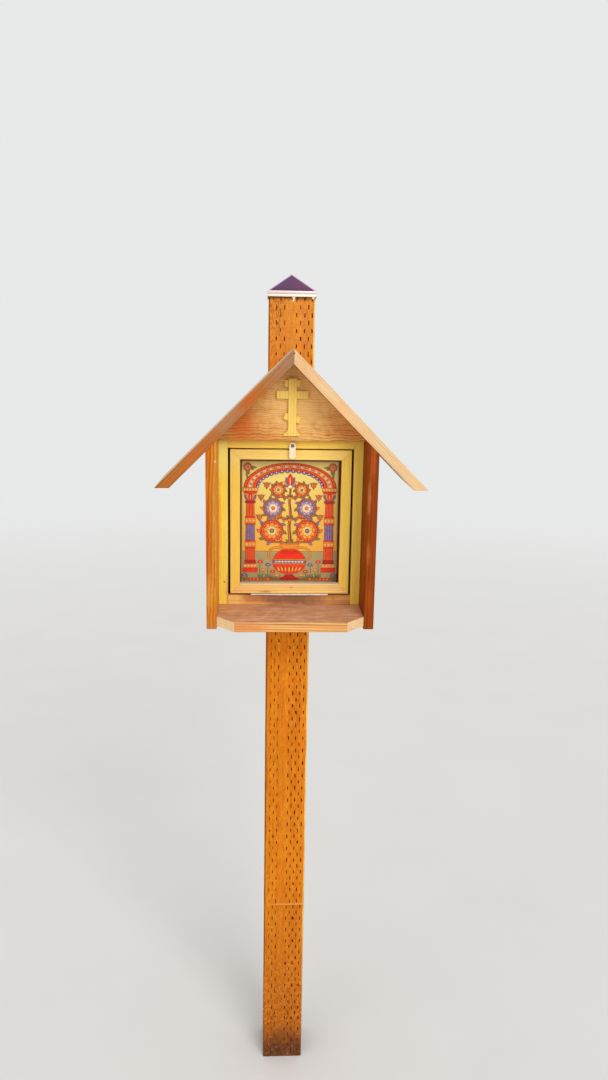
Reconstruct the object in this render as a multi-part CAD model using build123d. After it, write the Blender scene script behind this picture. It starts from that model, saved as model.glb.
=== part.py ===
from build123d import *
import math
import os

# A wayside icon shrine: a glazed wooden case with a gabled roof on the front of a garden post.
# Millimetres. X to the viewer's right, Y to the back, Z up. The origin is the middle of the post's foot.

# Post
post_side = 89.0
post_above_ridge = 108.0
post_corner_r = 3.0

# Metal cap on the post
cap_wall = 1.0
cap_gap = 1.2
cap_rise = 34.5
cap_skirt = 10.8
cap_hem = 5.4
cap_hem_proud = 0.6
cap_seat_gap = 0.1

# Case boards
board_t = 19.0
case_depth = 152.0
shelf_top_z = 1123.0
side_below_shelf = 5.5
shelf_nose = 34.0

# Roof boards, laid at 45 degrees and met on a plumb cut
eave_overhang = 93.0

# Face frame and the gable panel on it
face_front = 70.5
stile_width = 18.0
bottom_rail_height = 18.7
gable_t = 19.0
gable_above_opening = 16.8
gable_heel = 2.6

# Door, made as a picture frame for a standard sheet of glass
glass_width = 203.2
glass_height = 254.0
glass_t = 2.4
glass_gap = 0.8
glass_lip = 5.3
lip_t = 9.0
door_member = 19.0
door_t = 19.0
door_side_gap = 4.4
door_top_gap = 2.8
bead_width = 5.0

# Strip hinge under the door
hinge_length = 152.4
knuckle_count = 12
knuckle_r = 1.85
knuckle_gap = 0.3
leaf_t = 0.9
leaf_depth = 14.0
barrel_proud = 0.15
hinge_pin_r = 0.9
pin_running_gap = 0.05
pin_seat_gap = 0.02

# Turn button over the door
button_width = 12.3
button_length = 31.5
button_t = 8.0
button_corner_r = 4.5
button_x = 2.0
button_above_door = 9.0
button_behind_gap = 0.5
screw_r = 1.75
screw_head_r = 3.5
screw_head_t = 2.2
screw_bite = 15.0

# Icon
icon_board_t = 12.0
icon_board_gap = 1.5
print_t = 1.0
print_side_overlap = 4.5
print_end_overlap = 10.5
print_drop = 6.0

# Three-bar cross on the gable
cross_t = 6.4
cross_above_gable_edge = 9.0
cross_height = 105.7
upright_width = 15.4
foot_width = 31.4
foot_height = 5.0
flare_half = 12.0
flare_height = 6.5
main_bar_width = 58.8
main_bar_height = 14.6
main_bar_up = 75.7
top_bar_width = 30.3
top_bar_height = 12.6
top_bar_up = 96.5
top_bar_set_back = 2.4
slant_bar_width = 31.4
slant_bar_height = 12.2
slant_bar_up = 33.2
slant_deg = 14.5

# Planes and heights that follow from the sizes above
half_post = post_side / 2
back_y = -half_post
back_board_front = back_y - board_t
icon_front = back_board_front - icon_board_t
face_y = back_y - face_front
face_back = face_y + board_t
gable_y = face_y - gable_t
case_front = back_y - case_depth
shelf_front = case_front - shelf_nose

sight_width = glass_width + 2 * (glass_gap - glass_lip)
sight_height = glass_height + 2 * (glass_gap - glass_lip)
door_width = sight_width + 2 * door_member
door_height = sight_height + 2 * door_member
opening_half = door_width / 2 + door_side_gap
inner_half = opening_half + stile_width
outer_half = inner_half + board_t

shelf_bottom = shelf_top_z - board_t
side_bottom = shelf_bottom - side_below_shelf
opening_bottom = shelf_top_z + bottom_rail_height
door_bottom = opening_bottom + 2 * knuckle_r
door_top = door_bottom + door_height
door_middle = (door_bottom + door_top) / 2
opening_top = door_top + door_top_gap
gable_bottom = opening_top + gable_above_opening

roof_plumb = board_t * math.sqrt(2)
roof_half = outer_half + eave_overhang
roof_under_z = gable_bottom + gable_heel + inner_half
ridge_z = roof_under_z + roof_plumb
eave_z = ridge_z - roof_half
post_top_z = ridge_z + post_above_ridge

hinge_y = face_y - knuckle_r - barrel_proud
hinge_z = opening_bottom + knuckle_r
pivot_z = door_top + button_above_door

cross_bottom = gable_bottom + cross_above_gable_edge
cross_y = gable_y - cross_t

os.makedirs("parts", exist_ok=True)


def save(shape, node):
    """Write one piece to its own file."""
    export_step(shape, f"parts/{node}.step")


def under_roof(x):
    """Height of the roof's underside at a distance x from the middle."""
    return roof_under_z - abs(x)


def block(x0, x1, y0, y1, z0, z1):
    """A square-edged block between two corners."""
    centre = Pos((x0 + x1) / 2, (y0 + y1) / 2, (z0 + z1) / 2)
    return centre * Box(abs(x1 - x0), abs(y1 - y0), abs(z1 - z0))


def upright_slab(points, y_front, y_back):
    """A flat piece standing upright: its outline in X and Z, from front to back."""
    outline = Polyline(*[(x, y_back, z) for x, z in points], close=True)
    return extrude(make_face(outline), amount=y_back - y_front, dir=(0, -1, 0))


def level_slab(points, z_bottom, z_top):
    """A flat piece lying level: its outline in X and Y, from bottom to top."""
    outline = Polyline(*[(x, y, z_bottom) for x, y in points], close=True)
    return extrude(make_face(outline), amount=z_top - z_bottom, dir=(0, 0, 1))


def rod_x(x0, x1, y, z, radius):
    """A round rod along X."""
    return Pos((x0 + x1) / 2, y, z) * Rot(0, 90, 0) * Cylinder(radius, x1 - x0)


def rod_y(y0, y1, x, z, radius):
    """A round rod along Y."""
    return Pos(x, (y0 + y1) / 2, z) * Rot(90, 0, 0) * Cylinder(radius, y1 - y0)


def mirror_x(shape):
    """The same piece on the other side of the middle."""
    return mirror(shape, about=Plane.YZ)


# Post and cap


def make_post():
    """The square post with eased corners."""
    post = block(-half_post, half_post, -half_post, half_post, 0, post_top_z)
    return fillet(post.edges().filter_by(Axis.Z), post_corner_r)


def pyramid_on_skirt(half, z_bottom, z_base, rise):
    """A square block with a pyramid on it, as two crossed house shapes."""
    house = [(-half, z_bottom), (half, z_bottom), (half, z_base), (0, z_base + rise), (-half, z_base)]
    along_y = upright_slab(house, -half, half)
    return along_y & (Rot(0, 0, 90) * along_y)


def make_cap():
    """The pressed cap: a thin pyramid on a skirt, seated on the post's top edges."""
    half = half_post + cap_gap + cap_wall
    slope = cap_rise / half
    wall_down = cap_wall * math.sqrt(1 + slope**2)
    base_z = post_top_z + cap_seat_gap + wall_down - slope * (cap_gap + cap_wall)
    bottom_z = base_z - cap_skirt
    outer = pyramid_on_skirt(half, bottom_z, base_z, cap_rise)
    hem_half = half + cap_hem_proud
    hem = block(-hem_half, hem_half, -hem_half, hem_half, bottom_z, bottom_z + cap_hem)
    inner_half_width = half - cap_wall
    inner_rise = slope * inner_half_width
    inner_base = base_z + cap_rise - wall_down - inner_rise
    hollow = pyramid_on_skirt(inner_half_width, bottom_z - cap_wall, inner_base, inner_rise)
    return outer + hem - hollow


# Case boards


def make_side_board():
    """The right side board, bevelled on top to the roof's slope."""
    points = [
        (inner_half, side_bottom),
        (outer_half, side_bottom),
        (outer_half, under_roof(outer_half)),
        (inner_half, under_roof(inner_half)),
    ]
    return upright_slab(points, case_front, back_y)


def make_back_board():
    """The back board between the sides, pointed to fit under the roof."""
    points = [
        (-inner_half, side_bottom),
        (inner_half, side_bottom),
        (inner_half, under_roof(inner_half)),
        (0, under_roof(0)),
        (-inner_half, under_roof(inner_half)),
    ]
    return upright_slab(points, back_board_front, back_y)


def make_shelf():
    """The shelf between the sides, with a nose whose corners are cut at 45 degrees."""
    nose_half = inner_half - shelf_nose
    points = [
        (-inner_half, back_board_front),
        (inner_half, back_board_front),
        (inner_half, case_front),
        (nose_half, shelf_front),
        (-nose_half, shelf_front),
        (-inner_half, case_front),
    ]
    return level_slab(points, shelf_bottom, shelf_top_z)


def make_roof_board():
    """The right roof board: plumb cut at the ridge, level cut at the eave."""
    points = [
        (0, ridge_z),
        (roof_half, eave_z),
        (roof_half - roof_plumb, eave_z),
        (0, roof_under_z),
    ]
    return upright_slab(points, case_front, back_y)


def make_gable_panel():
    """The panel that fills the gable, in front of the face frame."""
    points = [
        (-inner_half, gable_bottom),
        (inner_half, gable_bottom),
        (inner_half, under_roof(inner_half)),
        (0, under_roof(0)),
        (-inner_half, under_roof(inner_half)),
    ]
    return upright_slab(points, gable_y, face_y)


# Face frame


def make_frame_stile():
    """The right stile of the face frame, standing on the shelf."""
    points = [
        (opening_half, shelf_top_z),
        (inner_half, shelf_top_z),
        (inner_half, under_roof(inner_half)),
        (opening_half, under_roof(opening_half)),
    ]
    return upright_slab(points, face_y, face_back)


def make_frame_top_rail():
    """The rail over the door, with the hole that the button's screw bites into."""
    rail = block(-opening_half, opening_half, face_y, face_back, opening_top, under_roof(opening_half))
    return rail - rod_y(face_y, face_y + screw_bite, button_x, pivot_z, screw_r + pin_seat_gap)


def make_frame_bottom_rail():
    """The rail under the door, with a seat for the hinge leaf on its top edge."""
    return block(-opening_half, opening_half, face_y, face_back, shelf_top_z, opening_bottom)


# Door


def mitred_rail(half_wide, half_high, width, y_front, y_back):
    """The top member of a mitred frame round the door's middle: a trapezium with 45 degree ends."""
    points = [
        (-half_wide, door_middle + half_high),
        (half_wide, door_middle + half_high),
        (half_wide - width, door_middle + half_high - width),
        (-half_wide + width, door_middle + half_high - width),
    ]
    return upright_slab(points, y_front, y_back)


def mitred_stile(half_wide, half_high, width, y_front, y_back):
    """The right member of a mitred frame round the door's middle."""
    points = [
        (half_wide, door_middle - half_high),
        (half_wide, door_middle + half_high),
        (half_wide - width, door_middle + half_high - width),
        (half_wide - width, door_middle - half_high + width),
    ]
    return upright_slab(points, y_front, y_back)


def turned_over(shape):
    """The same piece mirrored to the other end of the door."""
    return mirror(shape, about=Plane.XY.offset(door_middle))


def make_door():
    """The four mitred members, the glass and the four beads that hold it."""
    half_w = door_width / 2
    half_h = door_height / 2
    back = face_y + door_t
    glass_y = face_y + lip_t
    bead_y = glass_y + glass_t
    rabbet_w = glass_width / 2 + glass_gap
    rabbet_h = glass_height / 2 + glass_gap
    rabbet = block(-rabbet_w, rabbet_w, glass_y, back, door_middle - rabbet_h, door_middle + rabbet_h)
    top = mitred_rail(half_w, half_h, door_member, face_y, back) - rabbet
    right = mitred_stile(half_w, half_h, door_member, face_y, back) - rabbet
    glass_low = door_middle - glass_height / 2
    glass = block(-glass_width / 2, glass_width / 2, glass_y, bead_y, glass_low, glass_low + glass_height)
    bead_top = mitred_rail(rabbet_w, rabbet_h, bead_width, bead_y, back)
    bead_right = mitred_stile(rabbet_w, rabbet_h, bead_width, bead_y, back)
    return {
        "door_top_rail": top,
        "door_bottom_rail": turned_over(top),
        "door_left_stile": mirror_x(right),
        "door_right_stile": right,
        "door_glass": glass,
        "glass_bead_top": bead_top,
        "glass_bead_bottom": turned_over(bead_top),
        "glass_bead_left": mirror_x(bead_right),
        "glass_bead_right": bead_right,
    }


# Hinge


def knuckle_spans(first):
    """The ends along X of every second knuckle, starting with the given one."""
    pitch = hinge_length / knuckle_count
    start = -hinge_length / 2
    spans = []
    for i in range(first, knuckle_count, 2):
        spans.append((start + i * pitch + knuckle_gap / 2, start + (i + 1) * pitch - knuckle_gap / 2))
    return spans


def make_leaf(first_knuckle, z_bottom, bore_gap):
    """One leaf: a plate behind the barrel, and its knuckles with their tongues."""
    z_top = z_bottom + leaf_t
    plate_front = hinge_y + knuckle_r + knuckle_gap
    half = hinge_length / 2
    leaf = block(-half, half, plate_front, face_y + leaf_depth, z_bottom, z_top)
    for x0, x1 in knuckle_spans(first_knuckle):
        leaf += block(x0, x1, hinge_y, plate_front, z_bottom, z_top)
        leaf += rod_x(x0, x1, hinge_y, hinge_z, knuckle_r)
    return leaf - rod_x(-half, half, hinge_y, hinge_z, hinge_pin_r + bore_gap)


def make_hinge():
    """The frame's leaf, the door's leaf and the pin through both."""
    half = hinge_length / 2
    return {
        "hinge_frame_leaf": make_leaf(0, opening_bottom, pin_seat_gap),
        "hinge_door_leaf": make_leaf(1, door_bottom - leaf_t, pin_running_gap),
        "hinge_pin": rod_x(-half, half, hinge_y, hinge_z, hinge_pin_r),
    }


# Turn button


def make_button():
    """The wooden button: a round top end, rounded lower corners and a hole for its screw."""
    top_r = button_width / 2
    back = face_y - button_behind_gap
    front = back - button_t
    low_z = pivot_z + top_r - button_length
    body = block(button_x - top_r, button_x + top_r, front, back, low_z, pivot_z)
    lower_edges = body.edges().filter_by(Axis.Y).group_by(Axis.Z)[0]
    body = fillet(lower_edges, button_corner_r)
    head = rod_y(front, back, button_x, pivot_z, top_r)
    bore = rod_y(front, back, button_x, pivot_z, screw_r + pin_running_gap)
    return body + head - bore


def make_screw():
    """The button's screw, with a domed head."""
    front = face_y - button_behind_gap - button_t - pin_running_gap
    head = rod_y(front - screw_head_t, front, button_x, pivot_z, screw_head_r)
    rim = head.edges().filter_by(GeomType.CIRCLE).group_by(Axis.Y)[0]
    head = fillet(rim, screw_head_t * 0.6)
    return head + rod_y(front, face_y + screw_bite, button_x, pivot_z, screw_r)


# Icon


def make_icon():
    """The board on the back of the case and the print on it."""
    half = inner_half - icon_board_gap
    half_print = sight_width / 2 + print_side_overlap
    print_middle = door_middle - print_drop
    print_low = print_middle - sight_height / 2 - print_end_overlap
    print_high = print_middle + sight_height / 2 + print_end_overlap
    return {
        "icon_board": block(-half, half, icon_front, back_board_front, shelf_top_z, gable_bottom),
        "icon_print": block(-half_print, half_print, icon_front - print_t, icon_front, print_low, print_high),
    }


# Cross


def bar(width, height, up, y_front, turn=0.0):
    """A level or slanted bar of the cross, before it is halved over the upright."""
    plain = block(-width / 2, width / 2, y_front, gable_y, -height / 2, height / 2)
    return Pos(0, 0, cross_bottom + up) * Rot(0, turn, 0) * plain


def make_cross():
    """The upright, its foot and the three bars, halved where they cross."""
    half_up = upright_width / 2
    flare_top = cross_bottom + foot_height + flare_height
    foot_top = cross_bottom + foot_height
    outline = [
        (-half_up, cross_bottom + cross_height),
        (half_up, cross_bottom + cross_height),
        (half_up, flare_top),
        (flare_half, foot_top),
        (-flare_half, foot_top),
        (-half_up, flare_top),
    ]
    upright = upright_slab(outline, cross_y, gable_y)
    bars = {
        "cross_main_bar": bar(main_bar_width, main_bar_height, main_bar_up, cross_y),
        "cross_top_bar": bar(top_bar_width, top_bar_height, top_bar_up, cross_y + top_bar_set_back),
        "cross_slanted_bar": bar(slant_bar_width, slant_bar_height, slant_bar_up, cross_y, slant_deg),
    }
    front_half = block(
        -half_up,
        half_up,
        cross_y,
        gable_y - cross_t / 2,
        cross_bottom,
        cross_bottom + cross_height,
    )
    pieces = {}
    for node, whole in bars.items():
        halved = whole - front_half
        pieces[node] = halved
        upright -= halved
    pieces["cross_upright"] = upright
    half_foot = foot_width / 2
    pieces["cross_foot"] = block(-half_foot, half_foot, cross_y, gable_y, cross_bottom, foot_top)
    return pieces


save(make_post(), "post")
save(make_cap(), "post_cap")
save(make_back_board(), "back_board")
save(make_shelf(), "shelf")
save(make_gable_panel(), "gable_panel")
save(make_frame_top_rail(), "frame_top_rail")
save(make_frame_bottom_rail(), "frame_bottom_rail")

for name, right_piece in (
    ("side_board", make_side_board()),
    ("roof_board", make_roof_board()),
    ("frame_stile", make_frame_stile()),
):
    save(right_piece, f"right_{name}")
    save(mirror_x(right_piece), f"left_{name}")

for pieces in (make_door(), make_hinge(), make_icon(), make_cross()):
    for node, shape in pieces.items():
        save(shape, node)

save(make_button(), "turn_button")
save(make_screw(), "button_screw")
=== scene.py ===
import bpy
import bmesh
import math
import numpy
import random
from mathutils import Matrix, Vector, geometry, noise


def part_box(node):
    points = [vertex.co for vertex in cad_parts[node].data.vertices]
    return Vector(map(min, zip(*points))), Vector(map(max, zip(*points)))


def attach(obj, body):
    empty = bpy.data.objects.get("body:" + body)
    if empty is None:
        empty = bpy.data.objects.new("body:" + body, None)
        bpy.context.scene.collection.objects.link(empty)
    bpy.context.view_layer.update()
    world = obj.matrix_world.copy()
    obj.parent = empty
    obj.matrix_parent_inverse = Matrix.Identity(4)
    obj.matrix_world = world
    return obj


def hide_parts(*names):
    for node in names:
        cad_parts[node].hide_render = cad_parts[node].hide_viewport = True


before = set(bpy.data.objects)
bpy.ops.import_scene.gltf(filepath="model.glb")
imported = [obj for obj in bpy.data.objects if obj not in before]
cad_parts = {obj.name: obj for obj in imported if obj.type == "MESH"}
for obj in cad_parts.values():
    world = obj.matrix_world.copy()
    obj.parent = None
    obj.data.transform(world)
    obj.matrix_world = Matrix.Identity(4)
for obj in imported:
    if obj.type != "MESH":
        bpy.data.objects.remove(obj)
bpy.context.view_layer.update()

# A wayside icon shrine: a glazed wooden case with a gabled roof on the front of an incised garden post.
# Metres in Blender. The sizes below are millimetres, turned into metres by MM.
MM = 0.001


def span(node):
    """A CAD node's lowest and highest corner, in millimetres."""
    low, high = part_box(node)
    return low / MM, high / MM


def put(name, data):
    """A new object in the scene."""
    thing = bpy.data.objects.new(name, data)
    bpy.context.scene.collection.objects.link(thing)
    return thing


def put_mesh(name, shape, materials):
    """A bmesh as a new object in the scene."""
    mesh = bpy.data.meshes.new(name)
    shape.to_mesh(mesh)
    shape.free()
    for material in materials:
        mesh.materials.append(material)
    return put(name, mesh)


# Camera: the photograph's own, fitted to the shrine's sizes

PHOTO_HEIGHT = 1080
FOCAL_PIXELS = 844.86
SENSOR = 36.0
CAMERA_AT = (-55.03, -1718.05, 1605.51)
CAMERA_YAW = 2.932
CAMERA_DOWN = 12.368
CAMERA_ROLL = 1.009


def make_camera():
    """The camera that stands where the photograph was taken."""
    data = bpy.data.cameras.new("camera")
    data.sensor_width = SENSOR
    data.lens = SENSOR * FOCAL_PIXELS / PHOTO_HEIGHT
    camera = put("camera", data)
    yaw = Matrix.Rotation(math.radians(-CAMERA_YAW), 3, "Z")
    down = Matrix.Rotation(math.radians(90 - CAMERA_DOWN), 3, "X")
    roll = Matrix.Rotation(math.radians(CAMERA_ROLL), 3, "Z")
    camera.rotation_mode = "QUATERNION"
    camera.rotation_quaternion = (yaw @ down @ roll).to_quaternion()
    camera.location = Vector(CAMERA_AT) * MM
    bpy.context.scene.camera = camera


make_camera()
bpy.context.scene.view_settings.view_transform = "Standard"


# Node trees, built by calls that hand back sockets


def srgb(red, green, blue):
    """An 8-bit sRGB colour as a shader's linear one."""
    linear = []
    for value in (red / 255, green / 255, blue / 255):
        linear.append(value / 12.92 if value <= 0.04045 else ((value + 0.055) / 1.055) ** 2.4)
    return (*linear, 1.0)


class Graph:
    """A shader tree in the making, of a material or of the world."""

    def __init__(self, owner):
        self.owner = owner
        owner.use_nodes = True
        self.tree = owner.node_tree
        self.tree.nodes.clear()
        self.here = None

    def node(self, kind, inputs, output=0, **settings):
        """One node, with its inputs linked or set; the output asked for comes back."""
        made = self.tree.nodes.new(kind)
        for key, value in settings.items():
            setattr(made, key, value)
        for key, value in inputs.items():
            if isinstance(value, bpy.types.NodeSocket):
                self.tree.links.new(value, made.inputs[key])
            else:
                made.inputs[key].default_value = value
        return made.outputs[output]

    def math(self, operation, *values):
        """A Math node on one to three values."""
        return self.node("ShaderNodeMath", dict(enumerate(values)), operation=operation)

    def times(self, first, *others):
        """All the values multiplied."""
        for value in others:
            first = self.math("MULTIPLY", first, value)
        return first

    def apart(self, first, second):
        """How far one value is from another."""
        return self.math("ABSOLUTE", self.math("SUBTRACT", first, second))

    def vector(self, operation, *values, output="Vector"):
        """A Vector Math node on one or two vectors."""
        return self.node("ShaderNodeVectorMath", dict(enumerate(values)), output, operation=operation)

    def length(self, vector):
        """How long a vector is."""
        return self.vector("LENGTH", vector, output="Value")

    def noise(self, scale, detail=2.0, rough=0.5, where=None, output="Fac"):
        """Noise over the object, or at the places given; a scale of three numbers stretches it."""
        if where is None:
            where = self.here
        if isinstance(scale, tuple):
            where = self.vector("MULTIPLY", where, scale)
            scale = 1.0
        inputs = {"Vector": where, "Scale": scale, "Detail": detail, "Roughness": rough}
        return self.node("ShaderNodeTexNoise", inputs, output)

    def fit(self, value, low, high, to_low=0.0, to_high=1.0, smooth=False):
        """A value moved from one range to another, kept inside it."""
        inputs = {"Value": value, "From Min": low, "From Max": high, "To Min": to_low, "To Max": to_high}
        kind = "SMOOTHSTEP" if smooth else "LINEAR"
        return self.node("ShaderNodeMapRange", inputs, interpolation_type=kind)

    def mix(self, share, first, second, blend="MIX"):
        """Two colours mixed."""
        inputs = {0: share, 6: first, 7: second}
        return self.node("ShaderNodeMix", inputs, output=2, data_type="RGBA", blend_type=blend)

    def tint(self, colour, paint, share):
        """A colour with a share of an 8-bit sRGB paint over it."""
        return self.mix(share, colour, srgb(*paint))

    def wash(self, colour, paint, value, low, high, share=1.0):
        """A colour with more paint over it, up to the share, as a value goes from low to high."""
        return self.tint(colour, paint, self.fit(value, low, high, 0.0, share))

    def ramp(self, value, stops):
        """A colour ramp of (place, colour) stops."""
        made = self.tree.nodes.new("ShaderNodeValToRGB")
        elements = made.color_ramp.elements
        while len(elements) < len(stops):
            elements.new(0.5)
        for element, (place, colour) in zip(elements, stops):
            element.position = place
            element.color = colour
        self.tree.links.new(value, made.inputs["Fac"])
        return made.outputs["Color"]

    def place(self, output="Object"):
        """The point being shaded, or its normal, in the object's own frame."""
        return self.node("ShaderNodeTexCoord", {}, output)

    def axis(self, vector, name):
        """One coordinate of a vector."""
        return self.node("ShaderNodeSeparateXYZ", {0: vector}, name)

    def millimetres(self, name):
        """One coordinate of the point being shaded, in millimetres."""
        return self.math("DIVIDE", self.axis(self.here, name), MM)

    def facing(self, name):
        """One coordinate of the way that the surface faces."""
        return self.axis(self.place("Normal"), name)

    def patch(self, centre, reach, share):
        """The share in the middle of a patch, falling to 0 at its reach each way; in millimetres."""
        off = self.vector("SUBTRACT", self.here, [value * MM for value in centre])
        off = self.vector("DIVIDE", off, [value * MM for value in reach])
        ragged = self.fit(self.noise(90.0, detail=4.0), 0.2, 0.8, -0.3, 0.3)
        far = self.math("ADD", self.length(off), ragged)
        return self.fit(far, 1.0, 0.2, 0.0, share, smooth=True)

    def rays(self, first, *others):
        """1 for rays of any of the kinds named, which are outputs of the Light Path node."""
        path = self.tree.nodes.new("ShaderNodeLightPath")
        found = path.outputs[first]
        for kind in others:
            found = self.math("MAXIMUM", found, path.outputs[kind])
        return found

    def bump(self, height, strength, distance):
        """A bumped normal; the distance is in millimetres."""
        inputs = {"Height": height, "Strength": strength, "Distance": distance * MM}
        return self.node("ShaderNodeBump", inputs)

    def principled(self, **inputs):
        """A Principled shader; spaces in socket names are written as underscores."""
        named = {key.replace("_", " "): value for key, value in inputs.items()}
        return self.node("ShaderNodeBsdfPrincipled", named)

    def show(self, shader, kind="Material"):
        """Sends a shader to the surface and hands back the material or world."""
        end = self.tree.nodes.new("ShaderNodeOutput" + kind)
        self.tree.links.new(shader, end.inputs["Surface"])
        return self.owner

    def show_principled(self, **inputs):
        """A material that is one Principled shader."""
        return self.show(self.principled(**inputs))

    def show_either(self, share, first, second, kind="Material"):
        """One shader, and a share of another over it."""
        return self.show(self.node("ShaderNodeMixShader", {0: share, 1: first, 2: second}), kind)


def new_graph(name):
    """The shader tree of a new material; here is the point being shaded."""
    graph = Graph(bpy.data.materials.new(name))
    graph.here = graph.place()
    return graph


# Stage: a pale floor that fades into the background, and soft plain light

FLOOR_RADIUS = 16.0
FLOOR_SIDES = 96
FLOOR_FADE = (2.6, 8.0)
FLOOR_TONES = (srgb(240, 239, 236), srgb(234, 233, 230))
BACKGROUND = srgb(232, 233, 233)
# The rays that show the background itself: from the camera, in metal and through glass
DIRECT_RAYS = ("Is Camera Ray", "Is Glossy Ray", "Is Transmission Ray")
SKY_LIGHT = 0.6
# Name, way to the lamp, strength and width in degrees
LAMPS = (
    ("key", (0.42, -1.0, 0.55), 1.5, 34),
    ("fill", (-0.8, -0.8, 0.35), 0.5, 60),
)


def floor_material():
    """Matt and pale, fading far out into the background's colour."""
    graph = new_graph("floor")
    colour = graph.mix(graph.noise(3.0, detail=4.0), *FLOOR_TONES)
    matt = graph.principled(Base_Color=colour, Roughness=0.9, Specular_IOR_Level=0.1)
    glow = graph.node("ShaderNodeEmission", {"Color": BACKGROUND, "Strength": 1.0})
    fade = graph.fit(graph.length(graph.here), *FLOOR_FADE, smooth=True)
    return graph.show_either(graph.times(fade, graph.rays(*DIRECT_RAYS)), matt, glow)


def make_floor():
    """A large round floor at the post's foot."""
    shape = bmesh.new()
    bmesh.ops.create_circle(shape, cap_ends=True, radius=FLOOR_RADIUS, segments=FLOOR_SIDES)
    put_mesh("floor", shape, [floor_material()])


def make_world():
    """Even light from all round; the background itself shows pale."""
    world = bpy.data.worlds.new("world")
    bpy.context.scene.world = world
    graph = Graph(world)
    light = graph.node("ShaderNodeBackground", {"Color": (1, 1, 1, 1), "Strength": SKY_LIGHT})
    shown = graph.node("ShaderNodeBackground", {"Color": BACKGROUND, "Strength": 1.0})
    graph.show_either(graph.rays(*DIRECT_RAYS), light, shown, "World")


def make_lamp(name, source, strength, spread):
    """A broad lamp far off in the given direction."""
    data = bpy.data.lights.new(name, "SUN")
    data.energy = strength
    data.angle = math.radians(spread)
    lamp = put(name, data)
    lamp.rotation_mode = "QUATERNION"
    lamp.rotation_quaternion = Vector(source).to_track_quat("Z", "Y")


make_floor()
make_world()
for lamp in LAMPS:
    make_lamp(*lamp)


# Wood

# For each way that a board's grain runs, the degrees that Z turns round Y to reach it
GRAIN = {"Z": 0, "X": 90, "down_right": 135, "up_right": 45}
# How fine each pattern is: twice across the grain and once along it, per millimetre
WANDERING = (0.014, 0.014, 0.0022)
RIPPLING = (0.03, 0.03, 0.055)
UNEVEN_YEARS = (0.35, 0.35, 0.006)
STREAKS = (0.055, 0.055, 0.0012)
FIBRES = (0.9, 0.9, 0.014)
CLOUDS = (0.02, 0.02, 0.006)
PORES = (1.7, 1.7, 0.07)
# How much late wood there is from a year's start to its end
LATE_WOOD = ((0.0, (0, 0, 0, 1)), (0.42, (0.16, 0.16, 0.16, 1)), (0.82, (1, 1, 1, 1)), (1.0, (0, 0, 0, 1)))
WELD = 0.005
FLAT_ANGLE = 0.5


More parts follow.
